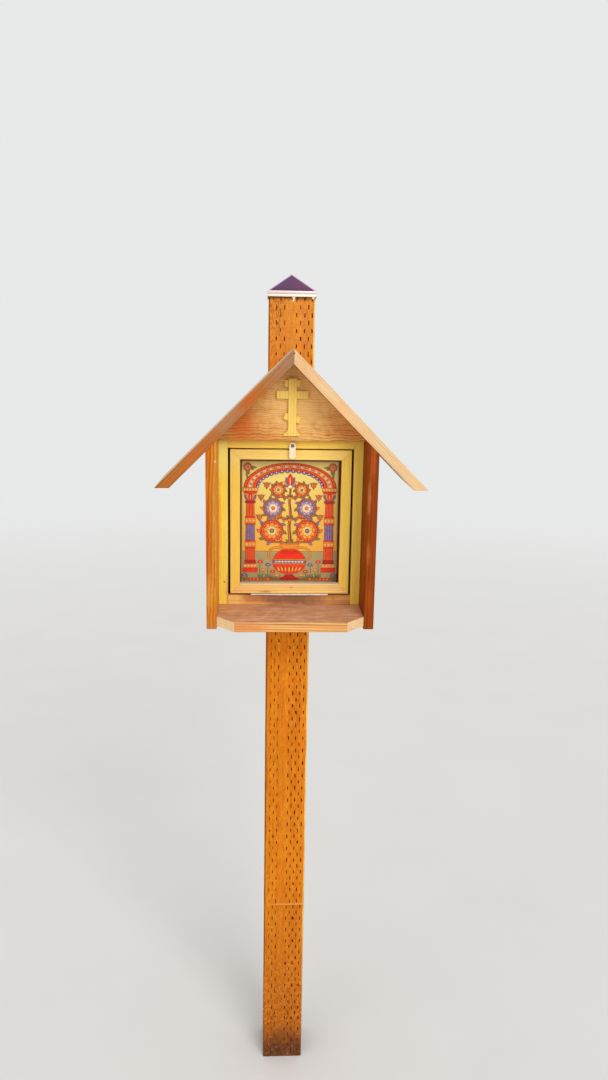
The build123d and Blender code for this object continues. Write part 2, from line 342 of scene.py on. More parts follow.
def wood(
    name, pale, dark, grain="Z", pith=(0, 0, 0), lean=(1.0, 0.6), ring=4.0, contrast=0.7, wander=5.0,
    ripple=0.0, streak=None, streak_share=0.5, top=None, end_dark=0.82, fibre=0.14, rough=0.5, gloss=0.25,
    finish=None, front=0.0, marks=(),
):
    """A board cut from round a pith, so that its rings, streaks and fibres run through it.

    Colours are 8-bit sRGB, lengths are millimetres, and pith is a point on the tree's middle line.
    top colours what faces the sky: the shelf's own top tone, weathering on the right roof board, and a
    painted highlight on the beads, the door's bottom rail and the weathered left roof board. finish may
    repaint the colour: it takes and returns a socket.
    marks are patches of another colour, as ((x, z), reach each way, colour, share). Their middles lie
    on the board's front face, and front is its y.
    """
    graph = new_graph(name)
    turn = math.radians(GRAIN[grain])
    inputs = {
        "Vector": graph.here,
        "Location": [value * MM for value in pith],
        "Rotation": (math.radians(lean[0]), turn + math.radians(lean[1]), 0),
        "Scale": (MM, MM, MM),
    }
    log = graph.node("ShaderNodeMapping", inputs, vector_type="TEXTURE")

    def shiver(scale, reach, detail):
        """A wandering of the rings, by up to about its reach."""
        drift = graph.noise(scale, detail=detail, where=log, output="Color")
        return graph.vector("MULTIPLY", graph.vector("SUBTRACT", drift, (0.5, 0.5, 0.5)), (2 * reach,) * 3)

    bent = graph.vector("ADD", log, shiver(WANDERING, wander, 2.0))
    if ripple:
        bent = graph.vector("ADD", bent, shiver(RIPPLING, ripple, 1.0))
    radius = graph.length(graph.vector("MULTIPLY", bent, (1, 1, 0)))
    uneven = graph.times(graph.noise(UNEVEN_YEARS, where=log), 0.5)
    count = graph.math("ADD", graph.math("DIVIDE", radius, ring), uneven)
    year = graph.math("FLOOR", count)
    late = graph.ramp(graph.math("FRACT", count), LATE_WOOD)
    vigour = graph.node("ShaderNodeTexWhiteNoise", {"W": year}, "Value", noise_dimensions="1D")
    shown_late = graph.times(late, graph.fit(vigour, 0, 1, 0.4 * contrast, contrast))
    colour = graph.mix(shown_late, srgb(*pale), srgb(*dark))
    if streak:
        band = graph.noise(STREAKS, detail=3.0, rough=0.6, where=log)
        colour = graph.tint(colour, streak, graph.fit(band, 0.42, 0.66, 0.0, streak_share, smooth=True))
    threads = graph.noise(FIBRES, detail=5.0, rough=0.62, where=log)
    for (x, z), reach, paint, share in marks:
        marked = graph.mix(shown_late, srgb(*paint), srgb(*(0.86 * value for value in paint)))
        colour = graph.mix(graph.patch((x, front, z), reach, share), colour, marked)
    # Upward faces: weathering on some boards, a painted highlight on others.
    if top:
        top_weathered_and_lit = graph.mix(shown_late, srgb(*top), srgb(0.86 * top[0], 0.78 * top[1], 0.7 * top[2]))
        colour = graph.mix(graph.fit(graph.facing("Z"), 0.45, 0.62), colour, top_weathered_and_lit)
    if finish:
        colour = finish(graph, colour)
    way = (math.sin(turn), 0, math.cos(turn))
    along = graph.vector("DOT_PRODUCT", graph.place("Normal"), way, output="Value")
    shade = graph.times(
        graph.fit(threads, 0.3, 0.7, 1 - fibre, 1 + 0.4 * fibre),
        graph.fit(graph.noise(CLOUDS, detail=3.0, where=log), 0.3, 0.7, 0.93, 1.05),
        graph.fit(graph.noise(PORES, detail=1.0, where=log), 0.66, 0.76, 1.0, 0.8),
        graph.fit(graph.math("ABSOLUTE", along), 0.6, 0.9, 1.0, end_dark),
    )
    tone = graph.node("ShaderNodeCombineColor", {0: shade, 1: shade, 2: shade})
    height = graph.math("ADD", graph.times(threads, 0.9), graph.times(late, 0.25))
    return graph.show_principled(
        Base_Color=graph.mix(1.0, colour, tone, blend="MULTIPLY"),
        Roughness=graph.fit(threads, 0.3, 0.7, rough + 0.1, rough - 0.06),
        Specular_IOR_Level=gloss,
        Normal=graph.bump(height, 0.45, 0.35),
    )


def dress(node, material, edge, segments=3, smooth_angle=25):
    """Gives a CAD node its material and, by modifiers alone, its eased edges."""
    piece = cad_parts[node]
    piece.data.materials.clear()
    piece.data.materials.append(material)
    weld = piece.modifiers.new("weld", "WELD")
    weld.merge_threshold = WELD * MM
    flat = piece.modifiers.new("flat", "DECIMATE")
    flat.decimate_type = "DISSOLVE"
    flat.angle_limit = math.radians(FLAT_ANGLE)
    ease = piece.modifiers.new("ease", "BEVEL")
    ease.width = edge * MM
    ease.segments = segments
    ease.limit_method = "ANGLE"
    ease.angle_limit = math.radians(smooth_angle)
    shade = piece.modifiers.new("shade", "WEIGHTED_NORMAL")
    shade.weight = 100
    for polygon in piece.data.polygons:
        polygon.use_smooth = True


# Shapes made here

ROOT = "root"


def add_piece(name, shape, materials, body, replaced=()):
    """Links a closed bmesh as a piece of the shrine."""
    bmesh.ops.recalc_face_normals(shape, faces=shape.faces)
    piece = put_mesh(name, shape, materials)
    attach(piece, body)
    if replaced:
        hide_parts(*replaced)


def new_vert(shape, x, y, z):
    """A new point of a shape, at a place in millimetres."""
    return shape.verts.new(Vector((x, y, z)) * MM)


def turns(steps):
    """Angles evenly round a circle."""
    return [2 * math.pi * step / steps for step in range(steps)]


def loft(shape, rings, material=0, smooth=True):
    """Quads between following rings."""
    for first, second in zip(rings, rings[1:]):
        for step in range(len(first)):
            after = (step + 1) % len(first)
            face = shape.faces.new((first[step], first[after], second[after], second[step]))
            face.smooth = smooth
            face.material_index = material


# Post: square, with eased corners and rows of incised slits on every face

POST_HALF = span("post")[1].x
POST_TOP = span("post")[1].z
CORNER = 3.0
CORNER_STEPS = 4
FLAT_HALF = POST_HALF - CORNER
COLUMN_PITCH = 7.7
# How wide the slits of each column are; 0 leaves a column plain
COLUMN_WIDTHS = (0.62, 0.74, 0.8, 0, 0, 1.0, 0.95, 1.1, 1.0, 1.05)
FIRST_COLUMN = 6.85
ROW_PITCH = 14.585
FIRST_ROW = 9.24
SLIT_LONG = 5.3
SLIT_WIDE = 1.1
SLIT_DEEP = 3.0
SLIT_CORNERS = 8
# A slit's rings from the surface down, as (share of its width, share of its length, depth)
SLIT_RINGS = ((1.0, 1.0, 0.0), (0.78, 0.94, 0.5), (0.3, 0.6, SLIT_DEEP))
# The columns drift to the right over this stretch of height
DRIFT_FROM = 900.0
DRIFT_TO = 1650.0
DRIFT = 4.6
# More slits are torn above this height, left of the middle, and torn ones are wider and more ragged
TORN_FROM = 1560.0
TORN_LEFT_OF = -8
TORN_SHARE = 0.08
TORN_SHARE_THERE = 0.5
TORN_WIDER = 1.45
TORN_RAGGED = 0.4
RAGGED = 0.12
POST_SEED = 11

CAP_LOW, CAP_HIGH = span("post_cap")
# Blotches of stain, as (scale, from, to, share, colour, detail)
BLOTCHES = (
    ((170, 170, 30), 0.5, 0.66, 0.6, (238, 156, 26), 4.0),
    ((260, 260, 62), 0.52, 0.68, 0.55, (190, 82, 6), 4.0),
    ((640, 640, 80), 0.52, 0.66, 0.5, (246, 172, 54), 4.0),
    ((760, 760, 130), 0.54, 0.66, 0.5, (176, 78, 8), 4.0),
    ((420, 420, 420), 0.6, 0.7, 0.35, (252, 196, 100), 4.0),
    ((700, 700, 460), 0.52, 0.64, 0.45, (198, 96, 22), 2.0),
)
# Pale lines rubbed across the front, each with a painted shadow below it, as (height, where they fade in,
# half width, share)
SCUFFS_WITH_SHADOWS = ((402.0, -40.0, 1.5, 0.5), (200.0, 2.0, 1.2, 0.3))
SCUFF_AND_SHADOW_FADE = 40.0
MUD_TOP = 56.0
SOIL = (
    (0.32, srgb(48, 24, 10)),
    (0.46, srgb(92, 56, 24)),
    (0.56, srgb(96, 50, 34)),
    (0.68, srgb(158, 118, 84)),
)


def post_finish(graph, colour):
    """The post's tones: blotched stain, a painted highlight and painted shade on its corners, pale scuff
    lines with a painted shadow under each, a painted shadow under the cap, and mud at the foot.
    """
    height = graph.millimetres("Z")
    across = graph.millimetres("X")
    front = graph.fit(graph.facing("Y"), -0.5, -0.8)
    colour = graph.wash(colour, (232, 162, 84), height, 1150, 1700, 0.4)
    for scale, low, high, share, paint, detail in BLOTCHES:
        colour = graph.wash(colour, paint, graph.noise(scale, detail, rough=0.68), low, high, share)
    torn = graph.fit(graph.noise((520, 520, 120), detail=3.0, rough=0.7), 0.5, 0.6, 0.0, 0.85)
    upper = graph.fit(height, TORN_FROM, TORN_FROM + 110)
    colour = graph.tint(colour, (128, 62, 10), graph.times(torn, upper, graph.fit(across, -6, -24), front))
    # Painted highlight on the front-right and back-left corners, painted shade on the front-left and
    # back-right ones.
    sides = graph.times(graph.facing("X"), graph.facing("Y"))
    patchy = graph.fit(graph.noise((60, 60, 22), detail=3.0), 0.35, 0.6, 0.5, 1.0)
    for start, end, paint in ((-0.06, -0.3, (255, 206, 104)), (0.06, 0.3, (128, 72, 16))):
        colour = graph.tint(colour, paint, graph.times(graph.fit(sides, start, end), patchy))
    # Painted shadow: a dark band all round the post just under the cap's hem.
    shadow_edge_waver = graph.fit(graph.noise(220.0, detail=3.0), 0.3, 0.7, -1.5, 1.5)
    cap_shadow_height = graph.math("ADD", height, shadow_edge_waver)
    colour = graph.wash(colour, (72, 28, 8), cap_shadow_height, CAP_LOW.z - 7.5, CAP_LOW.z - 1.5, 0.85)
    waver = graph.fit(graph.noise(24.0), 0, 1, -3.0, 3.0)
    for level, start, half, share in SCUFFS_WITH_SHADOWS:
        above = graph.math("SUBTRACT", graph.math("ADD", height, waver), level)
        line = graph.fit(graph.math("ABSOLUTE", above), 1.7 * half, 0.3 * half, 0.0, share)
        # Painted shadow in a band below each pale line.
        shadow = graph.times(graph.fit(above, 0, -half), graph.fit(above, -20, -2, 0.0, 0.5 * share))
        shown = graph.times(front, graph.fit(across, start, start + SCUFF_AND_SHADOW_FADE))
        colour = graph.tint(colour, (150, 60, 0), graph.times(shadow, shown))
        colour = graph.tint(colour, (255, 196, 116), graph.times(line, shown))
    colour = graph.wash(colour, (174, 90, 16), height, 460, 100, 0.85)
    speck = graph.noise((330, 330, 170), detail=5.0, rough=0.78)
    low_down = graph.fit(height, 400, 90)
    for start, end, share, paint in ((0.47, 0.36, 0.85, (232, 162, 56)), (0.53, 0.61, 0.9, (132, 58, 12))):
        colour = graph.tint(colour, paint, graph.times(graph.fit(speck, start, end, 0.0, share), low_down))
    wet = height
    for pattern, reach in ((graph.noise(38.0, detail=4.0, rough=0.65), 80.0), (speck, 120.0)):
        wet = graph.math("ADD", wet, graph.times(graph.math("SUBTRACT", pattern, 0.5), reach))
    soil = graph.ramp(graph.noise(130.0, detail=5.0, rough=0.72), SOIL)
    return graph.mix(graph.fit(wet, MUD_TOP + 34, MUD_TOP - 22, 0.0, 0.92), colour, soil)


def slit_material():
    """The dark wood inside the slits: torn wood, darkened further as painted shade in the recesses."""
    graph = new_graph("slit")
    colour = graph.mix(graph.noise(900.0, detail=3.0), srgb(96, 22, 4), srgb(146, 46, 10))
    return graph.show_principled(Base_Color=colour, Roughness=0.85, Specular_IOR_Level=0.1)


def turned(side, across, out, height):
    """A point given for the front face, moved to another face of the post."""
    x, y = across, -out
    for _ in range(side):
        x, y = -y, x
    return x, y, height


def post_point(side, across, height, deep=0.0):
    """A point on one face: across from its middle, a height, and a depth below the surface."""
    swell = 0.3 * noise.noise(Vector((across / 60 + 7 * side, height / 90, side)))
    return turned(side, across, POST_HALF - deep + swell * min(1, height / 20), height)


def corner_point(side, step, height):
    """A point round the corner after a face's right edge."""
    angle = math.pi / 2 * step / CORNER_STEPS
    worn = CORNER + 0.35 * noise.noise(Vector((height / 23, side * 5, 1.7)))
    return turned(side, FLAT_HALF + worn * math.sin(angle), FLAT_HALF + worn * math.cos(angle), height)


def column_edges(height):
    """Where the columns of slits begin and end across a face, at a height."""
    share = min(1, max(0, (height - DRIFT_FROM) / (DRIFT_TO - DRIFT_FROM)))
    edges = []
    for column in range(len(COLUMN_WIDTHS) + 1):
        edge = FIRST_COLUMN + COLUMN_PITCH * column + DRIFT * share - POST_HALF
        edges.append(min(edge, FLAT_HALF - 0.3))
    return edges


def slit_outline(rng, ragged):
    """Points round a blunt slit, as shares of its half width and half length."""
    outline = []
    for angle in turns(SLIT_CORNERS):
        wide, long = (math.copysign(abs(share) ** 0.6, share) for share in (math.sin(angle), math.cos(angle)))
        outline.append((wide * (1 + rng.uniform(-ragged, ragged)), long * (1 - rng.uniform(0, ragged))))
    return outline


def cut_slit(shape, side, corners, box, width, rng):
    """One cell with its slit: a surface round it, a short bevel and a narrowing cut."""
    left, right, low, high = box
    upper_left = left < TORN_LEFT_OF and low > TORN_FROM
    torn = rng.random() < (TORN_SHARE_THERE if upper_left else TORN_SHARE)
    half_wide = SLIT_WIDE * width * rng.uniform(0.8, 1.2) * (TORN_WIDER if torn else 1.0)
    half_wide = min(half_wide, (right - left) / 2 - 0.3)
    half_long = SLIT_LONG * rng.uniform(0.82, 1.12)
    mid_x = (left + right) / 2 + rng.uniform(-0.35, 0.35) * (right - left > 5)
    mid_z = (low + high) / 2 + rng.uniform(-0.6, 0.6)
    slant = rng.uniform(-0.05, 0.05)
    outline = slit_outline(rng, TORN_RAGGED if torn else RAGGED)
    rings = []
    for across, length, deep in SLIT_RINGS:
        ring = []
        for wide, long in outline:
            dz = long * half_long * length
            dx = wide * half_wide * across + slant * dz
            ring.append(new_vert(shape, *post_point(side, mid_x + dx, mid_z + dz, deep)))
        rings.append(ring)
    rim = rings[0]
    clockwise = corners[::-1]
    for quarter in range(4):
        first, second = clockwise[quarter], clockwise[(quarter + 1) % 4]
        start, middle, end = (rim[(2 * quarter + step) % SLIT_CORNERS] for step in range(3))
        shape.faces.new((first, start, second)).smooth = True
        shape.faces.new((second, start, middle, end)).smooth = True
    loft(shape, rings, material=1, smooth=False)
    shape.faces.new(rings[-1]).material_index = 1
    for step in range(SLIT_CORNERS):
        shape.edges.get((rim[step], rim[(step + 1) % SLIT_CORNERS])).smooth = False


def make_post():
    """The whole post as one closed mesh, every slit a real cut."""
    rng = random.Random(POST_SEED)
    shape = bmesh.new()
    levels = [0.0]
    while levels[-1] < POST_TOP - ROW_PITCH:
        levels.append(FIRST_ROW + ROW_PITCH * (len(levels) - 1))
    levels.append(POST_TOP)
    rings = []
    for height in levels:
        ring = []
        for side in range(4):
            across = [-FLAT_HALF] + column_edges(height) + [FLAT_HALF]
            ring.append([new_vert(shape, *post_point(side, x, height)) for x in across])
            round_steps = range(1, CORNER_STEPS)
            ring.append([new_vert(shape, *corner_point(side, step, height)) for step in round_steps])
        rings.append(ring)
    for row, (lower, upper) in enumerate(zip(rings, rings[1:])):
        low, high = levels[row], levels[row + 1]
        full = high - low > ROW_PITCH - 0.01
        edges = [(first + second) / 2 for first, second in zip(column_edges(low), column_edges(high))]
        for side in range(4):
            below, above = lower[2 * side], upper[2 * side]
            for step in range(len(below) - 1):
                corners = (below[step], below[step + 1], above[step + 1], above[step])
                column = step - 1
                inside = 0 <= column < len(COLUMN_WIDTHS)
                width = COLUMN_WIDTHS[column] if inside else 0
                if full and width and (column + row) % 2 == 0:
                    cut_slit(shape, side, corners, (edges[column], edges[column + 1], low, high), width, rng)
                else:
                    shape.faces.new(corners).smooth = True
            after = (2 * side + 2) % 8
            low_run, high_run = (
                (ring[2 * side][-1], *ring[2 * side + 1], ring[after][0]) for ring in (lower, upper)
            )
            for step in range(CORNER_STEPS):
                quad = (low_run[step], low_run[step + 1], high_run[step + 1], high_run[step])
                shape.faces.new(quad).smooth = True
    for ring in (rings[0], rings[-1]):
        shape.faces.new([vert for run in ring for vert in run])
    return shape


post_wood = wood(
    "post_wood", (224, 126, 10), (176, 84, 2), pith=(14, 40, 0), lean=(0.3, 0.5), ring=5.0, contrast=0.5,
    wander=8, streak=(206, 106, 8), streak_share=0.35, finish=post_finish, rough=0.55, gloss=0.1,
)
add_piece("incised_post", make_post(), [post_wood, slit_material()], ROOT, ["post"])


# Cap: thin pressed sheet with folded edges

CAP_BASE_Z = 1723.7
CAP_HALF = 46.7
HEM_HALF = CAP_HIGH.x
HEM_TOP = CAP_LOW.z + 5.4
SHEET = 1.0


def square_ring(shape, half, height, radius, steps=4):
    """A square loop with round corners."""
    ring = []
    inner = half - radius
    for quarter, (sx, sy) in enumerate(((1, -1), (1, 1), (-1, 1), (-1, -1))):
        for step in range(steps + 1):
            angle = math.pi / 2 * (step / steps + quarter - 1)
            x = sx * inner + radius * math.cos(angle)
            y = sy * inner + radius * math.sin(angle)
            ring.append(new_vert(shape, x, y, height))
    return ring


def make_cap():
    """The pyramid, its rolled edge, the skirt, the groove and the hem, with the sheet's inner side."""
    shape = bmesh.new()
    low, top = CAP_LOW.z, CAP_HIGH.z
    skirt = (
        (HEM_HALF - 0.9, low, 1.8),
        (HEM_HALF - 0.25, low + 0.15, 2.4),
        (HEM_HALF, low + 0.9, 2.8),
        (HEM_HALF, HEM_TOP - 1.1, 2.8),
        (HEM_HALF - 0.3, HEM_TOP - 0.3, 2.6),
        (CAP_HALF - 0.6, HEM_TOP, 2.2),
        (CAP_HALF - 0.6, HEM_TOP + 0.35, 2.2),
        (CAP_HALF, HEM_TOP + 0.9, 2.2),
        (CAP_HALF, CAP_BASE_Z - 1.2, 2.0),
        (CAP_HALF - 0.25, CAP_BASE_Z - 0.35, 1.8),
        (CAP_HALF - 1.1, CAP_BASE_Z + 0.45, 1.3),
    )
    skirt_rings = [square_ring(shape, *ring) for ring in skirt]
    roof_rings = [skirt_rings[-1]]
    for share in (0.06, 0.3, 0.6, 0.85, 0.97):
        half = (CAP_HALF - 0.4) * (1 - share)
        height = CAP_BASE_Z + (top - CAP_BASE_Z) * share
        roof_rings.append(square_ring(shape, half, height, min(0.9, half * 0.45)))
    roof_rings.append(square_ring(shape, 0.35, top - 0.1, 0.16))
    inner = (
        (0.35, top - 1.4, 0.16),
        (CAP_HALF - 2.2, CAP_BASE_Z - 0.6, 0.8),
        (CAP_HALF - SHEET, CAP_BASE_Z - 2.0, 0.8),
        (CAP_HALF - SHEET, low + 0.1, 0.8),
    )
    inner_rings = [square_ring(shape, *ring) for ring in inner]
    loft(shape, skirt_rings, material=1)
    loft(shape, roof_rings)
    loft(shape, inner_rings)
    loft(shape, [inner_rings[-1], skirt_rings[0]], material=1)
    shape.faces.new(roof_rings[-1])
    shape.faces.new(inner_rings[0])
    return shape


def sheet_metal(name, main, other, rough, metallic=0.85, paint=None):
    """Coated sheet, clouded and faintly scratched; paint may recolour it, as a wood's finish does."""
    graph = new_graph(name)
    cloud = graph.noise(28.0, detail=4.0, rough=0.6)
    colour = graph.mix(graph.fit(cloud, 0.35, 0.65), srgb(*main), srgb(*other))
    if paint:
        colour = paint(graph, colour)
    drawn = graph.noise((60, 60, 900), detail=3.0)
    height = graph.math("ADD", graph.times(cloud, 0.5), graph.times(graph.noise(600.0), 0.1))
    return graph.show_principled(
        Base_Color=colour,
        Metallic=metallic,
        Roughness=graph.fit(graph.math("ADD", cloud, drawn), 0.7, 1.3, rough - 0.08, rough + 0.12),
        Normal=graph.bump(height, 0.2, 0.4),
    )


def roof_tint(graph, colour):
    """Violet on the left to wine on the right, darker at the foot, and pale along the hips as a painted
    highlight.
    """
    across = graph.millimetres("X")
    colour = graph.tint(colour, (136, 66, 100), graph.fit(across, -12, 34, 0.0, 0.85, smooth=True))
    colour = graph.wash(colour, (88, 44, 74), graph.millimetres("Z"), CAP_BASE_Z + 9, CAP_BASE_Z, 0.6)
    # Painted highlight along the hips.
    hip_highlight_distance = graph.apart(graph.math("ABSOLUTE", across), graph.math("ABSOLUTE", graph.millimetres("Y")))
    return graph.wash(colour, (226, 194, 222), hip_highlight_distance, 3.6, 1.8, 0.9)


def skirt_tint(graph, colour):
    """Pink white above the hem, cream on it, and a mauve line of painted shade in the groove between."""
    height = graph.millimetres("Z")
    colour = graph.wash(colour, (244, 232, 214), height, HEM_TOP + 0.4, HEM_TOP - 0.4)
    # Painted shade in the groove.
    colour = graph.wash(colour, (184, 148, 150), graph.apart(height, HEM_TOP + 0.2), 0.9, 0.3, 0.7)
    return graph.wash(colour, (170, 130, 110), height, CAP_LOW.z + 1.0, CAP_LOW.z, 0.6)


cap_materials = [
    sheet_metal("cap_maroon", (104, 72, 112), (112, 68, 106), 0.34, paint=roof_tint),
    sheet_metal("cap_bright", (236, 214, 214), (240, 224, 220), 0.34, metallic=0.3, paint=skirt_tint),
]
add_piece("folded_cap", make_cap(), cap_materials, ROOT, ["post_cap"])


# Small things: sealant that ran out under the cap's hem, and nail heads

# Each drip goes down as (x, height, half width)
DRIPS = (
    (
        (2.9, 1713.6, 4.0), (3.0, 1711.6, 2.9), (3.4, 1709.4, 1.9), (3.3, 1707.2, 1.7), (2.2, 1705.2, 1.9),
        (0.6, 1704.2, 1.6), (-0.9, 1705.2, 1.1),
    ),
    ((40.6, 1713.6, 3.4), (40.4, 1711.8, 2.9), (40.0, 1710.2, 2.2), (39.8, 1709.2, 1.2)),
)
DRIP_STEPS = 14
DRIP_TIP = Vector((0, 0, -0.6)) * MM
CASE_FRONT = span("left_frame_stile")[0].y
ROOF_FRONT = span("left_roof_board")[0].y
# Each nail as (x, y of the wood's front, z, radius)
NAILS = ((-127.3, CASE_FRONT, 1168.7, 1.5), (0.2, ROOF_FRONT, 1608.0, 2.0))
NAIL_STEPS = 16
# A nail head's rings, as (share of its radius, how far it stands out)
NAIL_RINGS = ((0.94, -0.5), (1.0, 0.1), (0.92, 0.35), (0.6, 0.55), (0.2, 0.62))


def make_drips():
    """Soft strings of sealant against the post's front face."""
    shape = bmesh.new()
    for drip in DRIPS:
        rings = []
        for x, height, half in drip:
            ring = []
            for angle in turns(DRIP_STEPS):
                bulge = 0.75 if math.sin(angle) > 0 else 0.2
                out = POST_HALF + 0.35 + 0.75 * half * math.sin(angle) * bulge
                ring.append(new_vert(shape, x + half * math.cos(angle), -out, height))
            rings.append(ring)
        loft(shape, rings)
        shape.faces.new(rings[0])
        last = rings[-1]
        tip = shape.verts.new(sum((vert.co for vert in last), Vector()) / DRIP_STEPS + DRIP_TIP)
        for step in range(DRIP_STEPS):
            shape.faces.new((last[step], last[(step + 1) % DRIP_STEPS], tip)).smooth = True
    return shape


def sealant_material():
    """Pale rubbery sealant with a little dust on it."""
    graph = new_graph("sealant")
    dust = graph.noise(500.0, detail=4.0)
    colour = graph.mix(graph.fit(dust, 0.4, 0.7), srgb(250, 236, 204), srgb(226, 200, 160))
    return graph.show_principled(Base_Color=colour, Roughness=0.42, Normal=graph.bump(dust, 0.2, 0.2))


def make_nails():
    """Low domed heads, driven in from the front."""
    shape = bmesh.new()
    for x, front, z, radius in NAILS:
        rings = []
        for share, out in NAIL_RINGS:
            ring = []
            for angle in turns(NAIL_STEPS):
                dx, dz = share * radius * math.cos(angle), share * radius * math.sin(angle)
                ring.append(new_vert(shape, x + dx, front - out, z + dz))
            rings.append(ring)
        loft(shape, rings)
        shape.faces.new(rings[0])
        shape.faces.new(rings[-1])
    return shape


screw_steel = sheet_metal("screw_steel", (146, 124, 104), (96, 76, 60), 0.4)
add_piece("hem_sealant", make_drips(), [sealant_material()], ROOT)
add_piece("nail_heads", make_nails(), [screw_steel], ROOT)


# Boards of the case

SAWN = ((0.3, srgb(206, 146, 86)), (0.5, srgb(244, 206, 150)), (0.7, srgb(255, 226, 180)))
# Darker and lighter mottling of the shelf's top, as (from, to, colour)
MOTTLING = ((0.5, 0.64, (192, 134, 92)), (0.48, 0.36, (250, 200, 164)))
# Strokes over the shelf's top, as (x where they are STROKES_OUT in front of the post's middle, share). They
# slant to the right as they go back, one millimetre for each STROKES_SLOPE.
STROKES_OUT = 185.0
STROKES_SLOPE = 2.6
STROKES = ((-88, 0.35), (-46, 0.6), (-25, 0.45), (-9, 0.6), (61, 0.3))


def shelf_wear(graph, colour):
    """Pale sawn corners, and a mottled top with short pale strokes slanting over it."""
    sawn = graph.ramp(graph.noise(520.0, detail=3.0, rough=0.7), SAWN)
    colour = graph.mix(graph.fit(graph.math("ABSOLUTE", graph.facing("X")), 0.35, 0.55), colour, sawn)
    on_top = graph.fit(graph.facing("Z"), 0.5, 0.8)
    mottle = graph.noise((24, 64, 24), detail=5.0, rough=0.66)
    for start, end, paint in MOTTLING:
        colour = graph.tint(colour, paint, graph.times(graph.fit(mottle, start, end, 0.0, 0.6), on_top))
    deep = graph.millimetres("Y")
    slanting = graph.math("DIVIDE", graph.math("ADD", deep, STROKES_OUT), STROKES_SLOPE)
    along = graph.math("SUBTRACT", graph.millimetres("X"), slanting)
    broken = graph.fit(graph.noise(70.0, detail=3.0), 0.35, 0.65, 0.3, 1.0)
    shown = graph.times(graph.fit(deep, -214, -196), graph.fit(deep, -150, -172), on_top, broken)
    for middle, share in STROKES:
        stroke = graph.fit(graph.apart(along, middle), 6.0, 0.6, 0.0, share)
        colour = graph.tint(colour, (248, 198, 156), graph.times(stroke, shown))
    return colour


def painted_light_inside(graph, colour):
    """A painted highlight: a lighter gold on the left board's inner side, standing in for the light that
    falls on it, speckled like its front edge.
    """
    specks = graph.noise((260, 260, 70), detail=4.0, rough=0.7)
    inner = graph.mix(graph.fit(specks, 0.4, 0.65), srgb(255, 196, 96), srgb(238, 150, 56))
    return graph.mix(graph.fit(graph.facing("X"), 0.5, 0.8, 0.0, 0.75), colour, inner)


def roof_pinks(graph, colour):
    """Peach patches in the pale roof board."""
    return graph.wash(colour, (238, 178, 124), graph.noise(16.0, detail=3.0), 0.45, 0.65, 0.6)


def board(node, name, *colours, **settings):
    """Dresses a board in a wood of its own, since no two came from the same tree."""
    dress(node, wood(name, *colours, front=span(node)[0].y, **settings), edge=1.0)


GOLD = dict(pale=(255, 218, 92), dark=(232, 164, 56), ring=2.4, wander=3, fibre=0.12)


def gold_board(node, name, **changes):
    """Dresses a board in the yellow wood of the frame and the door."""
    board(node, name, **{**GOLD, **changes})


board(
    "left_side_board", "left_side_wood", (234, 144, 36), (122, 42, 0), pith=(-200, -150, 0), ring=5.0,
    contrast=1.0, streak=(188, 76, 8), streak_share=0.55, wander=6, ripple=1.6, fibre=0.26, gloss=0.1,
    finish=painted_light_inside,
    marks=(
        # Painted highlight along the board's inner front corner.
        ((-137.4, 1310), (8, 9, 200), (238, 170, 84), 0.65),
        ((-140.3, 1415.2), (3.2, 3.2, 3.2), (246, 214, 150), 1.0),
        ((-152, 1170), (12, 8, 50), (238, 166, 66), 0.6),
        ((-146, 1104), (16, 8, 26), (196, 126, 52), 0.8),
    ),
)
# Darker and redder than the left board: partly its own redder wood, partly painted shade.
board(
    "right_side_board", "right_side_wood", (156, 68, 2), (84, 26, 0), pith=(205, -160, 0), ring=5.5,
    contrast=0.9, streak=(124, 42, 4), streak_share=0.6, wander=6, gloss=0.1,
    marks=(
        ((147, 1420), (7, 8, 60), (196, 92, 40), 0.5),
        ((141.5, 1352), (5, 8, 46), (204, 120, 62), 0.6),
        ((143, 1245), (6, 8, 34), (196, 108, 44), 0.5),
        ((147, 1160), (7, 8, 40), (176, 86, 20), 0.5),
    ),
)
board(
    "back_board", "back_wood", (220, 148, 70), (166, 94, 36), pith=(40, 90, 0), ring=8.0, wander=14,
    streak=(200, 116, 48),
)
board(
    "shelf", "shelf_wood", (248, 190, 112), (146, 60, 16), grain="X", pith=(30, -222, 1052), lean=(0.4, 0.6),
    ring=5.0, contrast=1.0, top=(224, 172, 134), streak=(216, 128, 58), end_dark=1.0, finish=shelf_wear,
    marks=(
        ((-96, 1112), (84, 8, 18), (232, 130, 66), 0.55),
        ((20, 1105), (110, 8, 7), (226, 156, 86), 0.5),
    ),
)
board(
    "gable_panel", "gable_wood", (232, 164, 84), (152, 70, 20), grain="X", pith=(0, -90, 1420), ring=3.8,
    contrast=1.0, wander=10, ripple=3.6, streak=(216, 122, 52), streak_share=0.35, gloss=0.15,
    marks=(
        ((10, 1530), (110, 60, 140), (255, 206, 126), 0.85),
        ((-94, 1472), (30, 60, 60), (226, 106, 28), 0.65),
        ((-60, 1452), (70, 60, 18), (220, 126, 54), 0.5),
    ),
)
